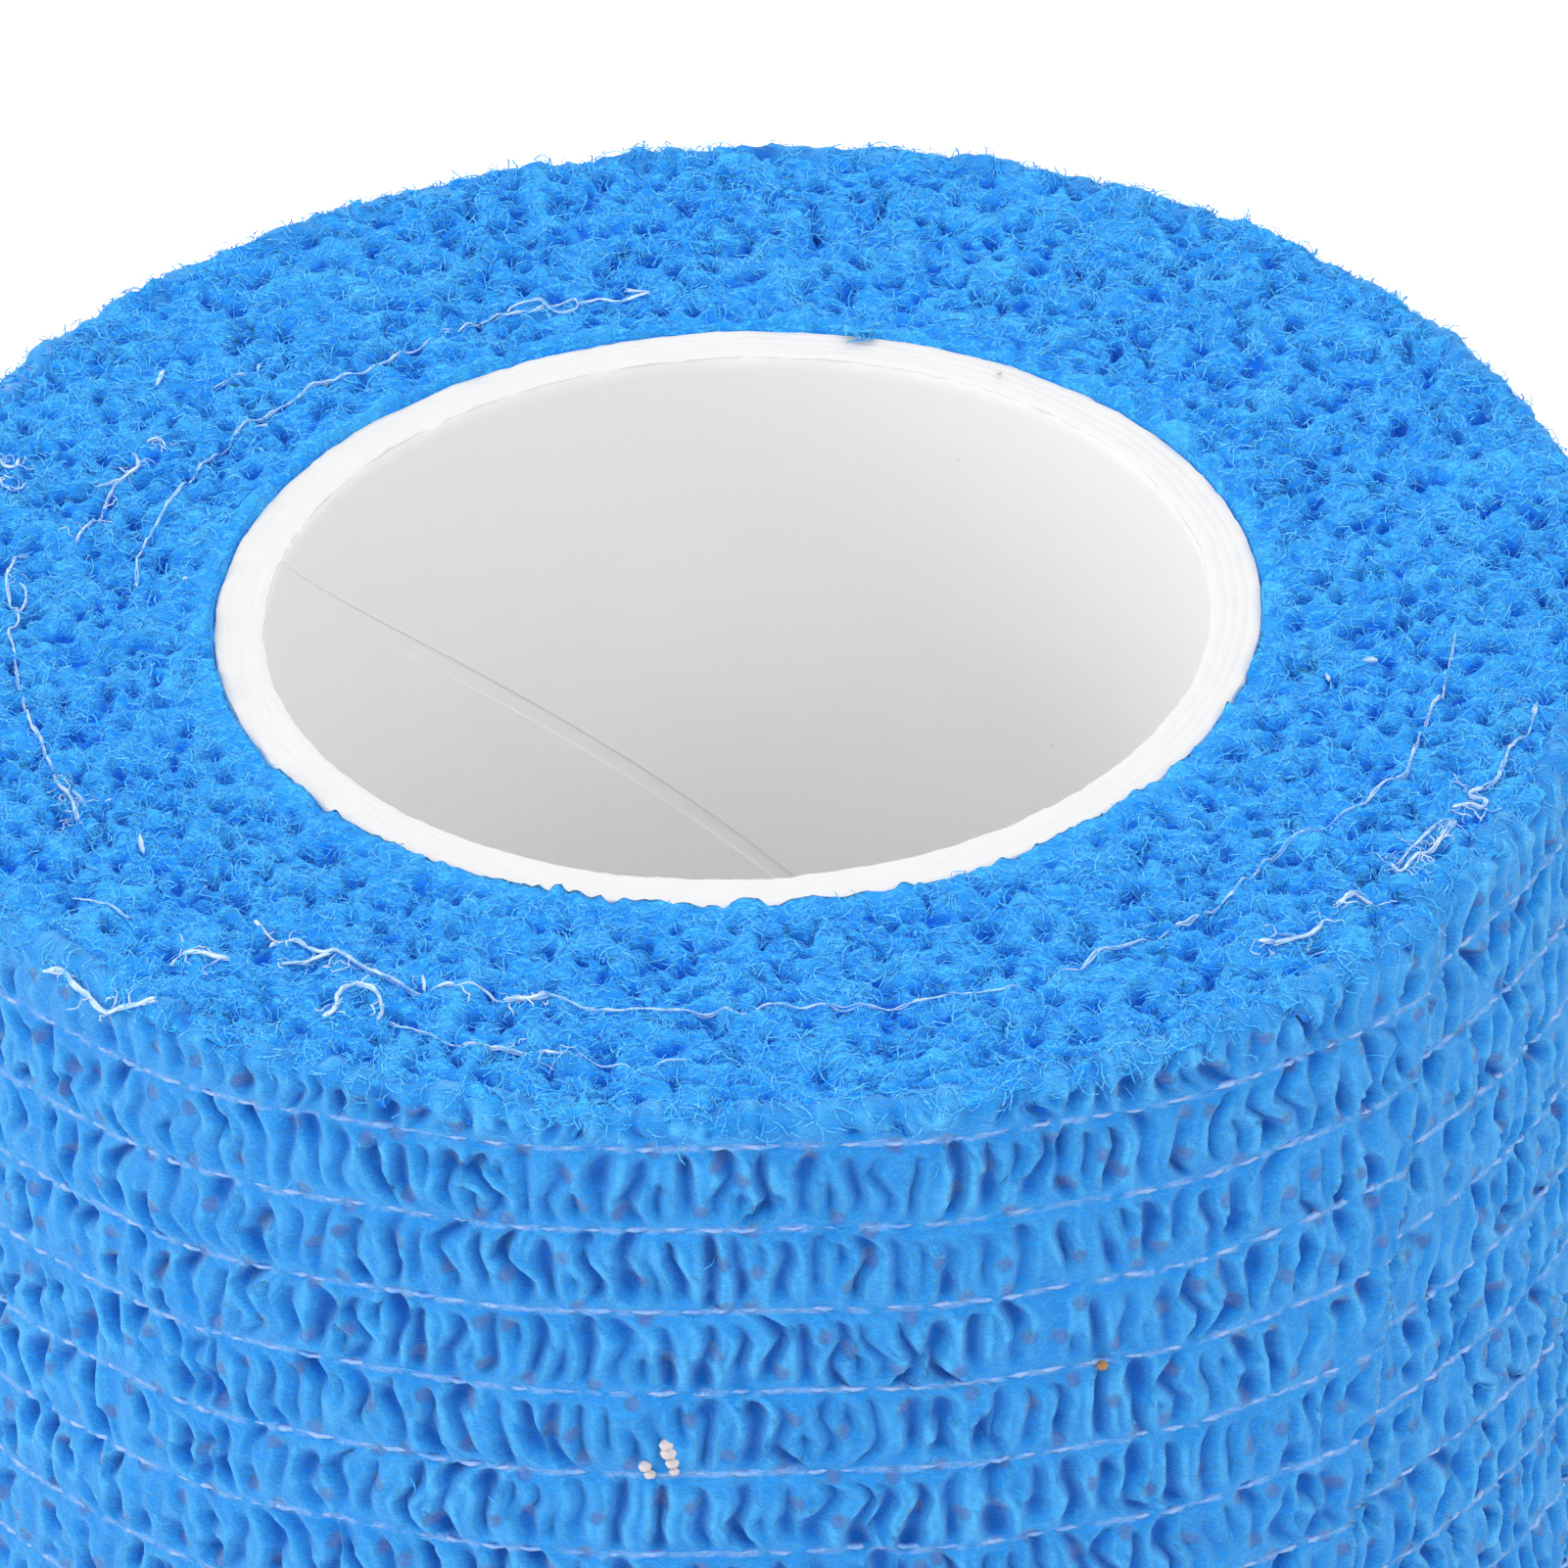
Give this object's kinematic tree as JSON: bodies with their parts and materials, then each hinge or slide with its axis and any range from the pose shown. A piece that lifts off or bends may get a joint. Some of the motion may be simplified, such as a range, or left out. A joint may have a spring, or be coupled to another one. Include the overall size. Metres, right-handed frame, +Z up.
{
  "type": "cohesive bandage roll",
  "caption": "Crinkled self-adherent elastic bandage wound in a roll on a white paper core tube, standing on its end.",
  "frame": {"origin": "on the roll's axis at the end face that it stands on", "axes": "+Z up along the roll's axis; +X to the right and -Y towards the viewer in the picture, with the outer turn's cut end at the right of the front"},
  "size_m": [0.0566, 0.057, 0.05],
  "materials": {
    "core_paper": "matte, smooth",
    "bandage_cloth": "matte crinkled nonwoven"
  },
  "bodies": {
    "root": {"core_tube": "core_paper", "bandage_roll": "bandage_cloth"}
  },
  "joints": []
}
